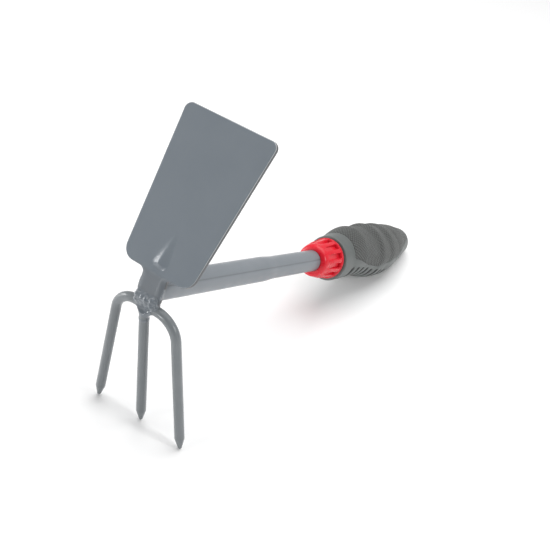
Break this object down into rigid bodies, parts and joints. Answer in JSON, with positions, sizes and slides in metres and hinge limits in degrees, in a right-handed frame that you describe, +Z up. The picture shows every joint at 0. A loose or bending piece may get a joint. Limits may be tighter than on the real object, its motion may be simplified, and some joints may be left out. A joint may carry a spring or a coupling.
{
  "type": "grub hoe",
  "caption": "Two-sided hand grub hoe: a flat pressed hoe blade opposite a round-rod fork, on a stepped steel tube with a padded grip and a red fluted collar.",
  "frame": {"origin": "under the middle of the tool's bounding box, on the flat surface it lies on", "axes": "+Z up as the tool rests on its tine points and the underside of the grip; +Y along the tool towards the grip's end; +X sideways, the left of a person who holds the grip and looks along the shaft at the head with the blade up"},
  "size_m": [0.0694, 0.3214, 0.1857],
  "materials": {
    "blade_paint": "satin grey enamel",
    "tine_paint": "semi-gloss grey enamel",
    "weld_paint": "glossy grey enamel over a lumpy bead",
    "tube_paint": "satin silver-grey enamel",
    "collar_plastic": "satin-gloss red",
    "core_plastic": "plain moulded black",
    "shell_plastic": "matt grey",
    "insert_rubber": "matt, finely scaled texture"
  },
  "bodies": {
    "root": {"hoe_blade": "blade_paint", "outer_tines": "tine_paint", "centre_tine": "tine_paint", "neck_weld": "weld_paint", "centre_tine_weld": "weld_paint", "shaft_weld": "weld_paint", "crossbar_weld": "weld_paint", "shaft_tube": "tube_paint", "grip_collar": "collar_plastic", "grip_core": "core_plastic", "grip_shell": "shell_plastic", "grip_insert": "insert_rubber"}
  },
  "joints": []
}
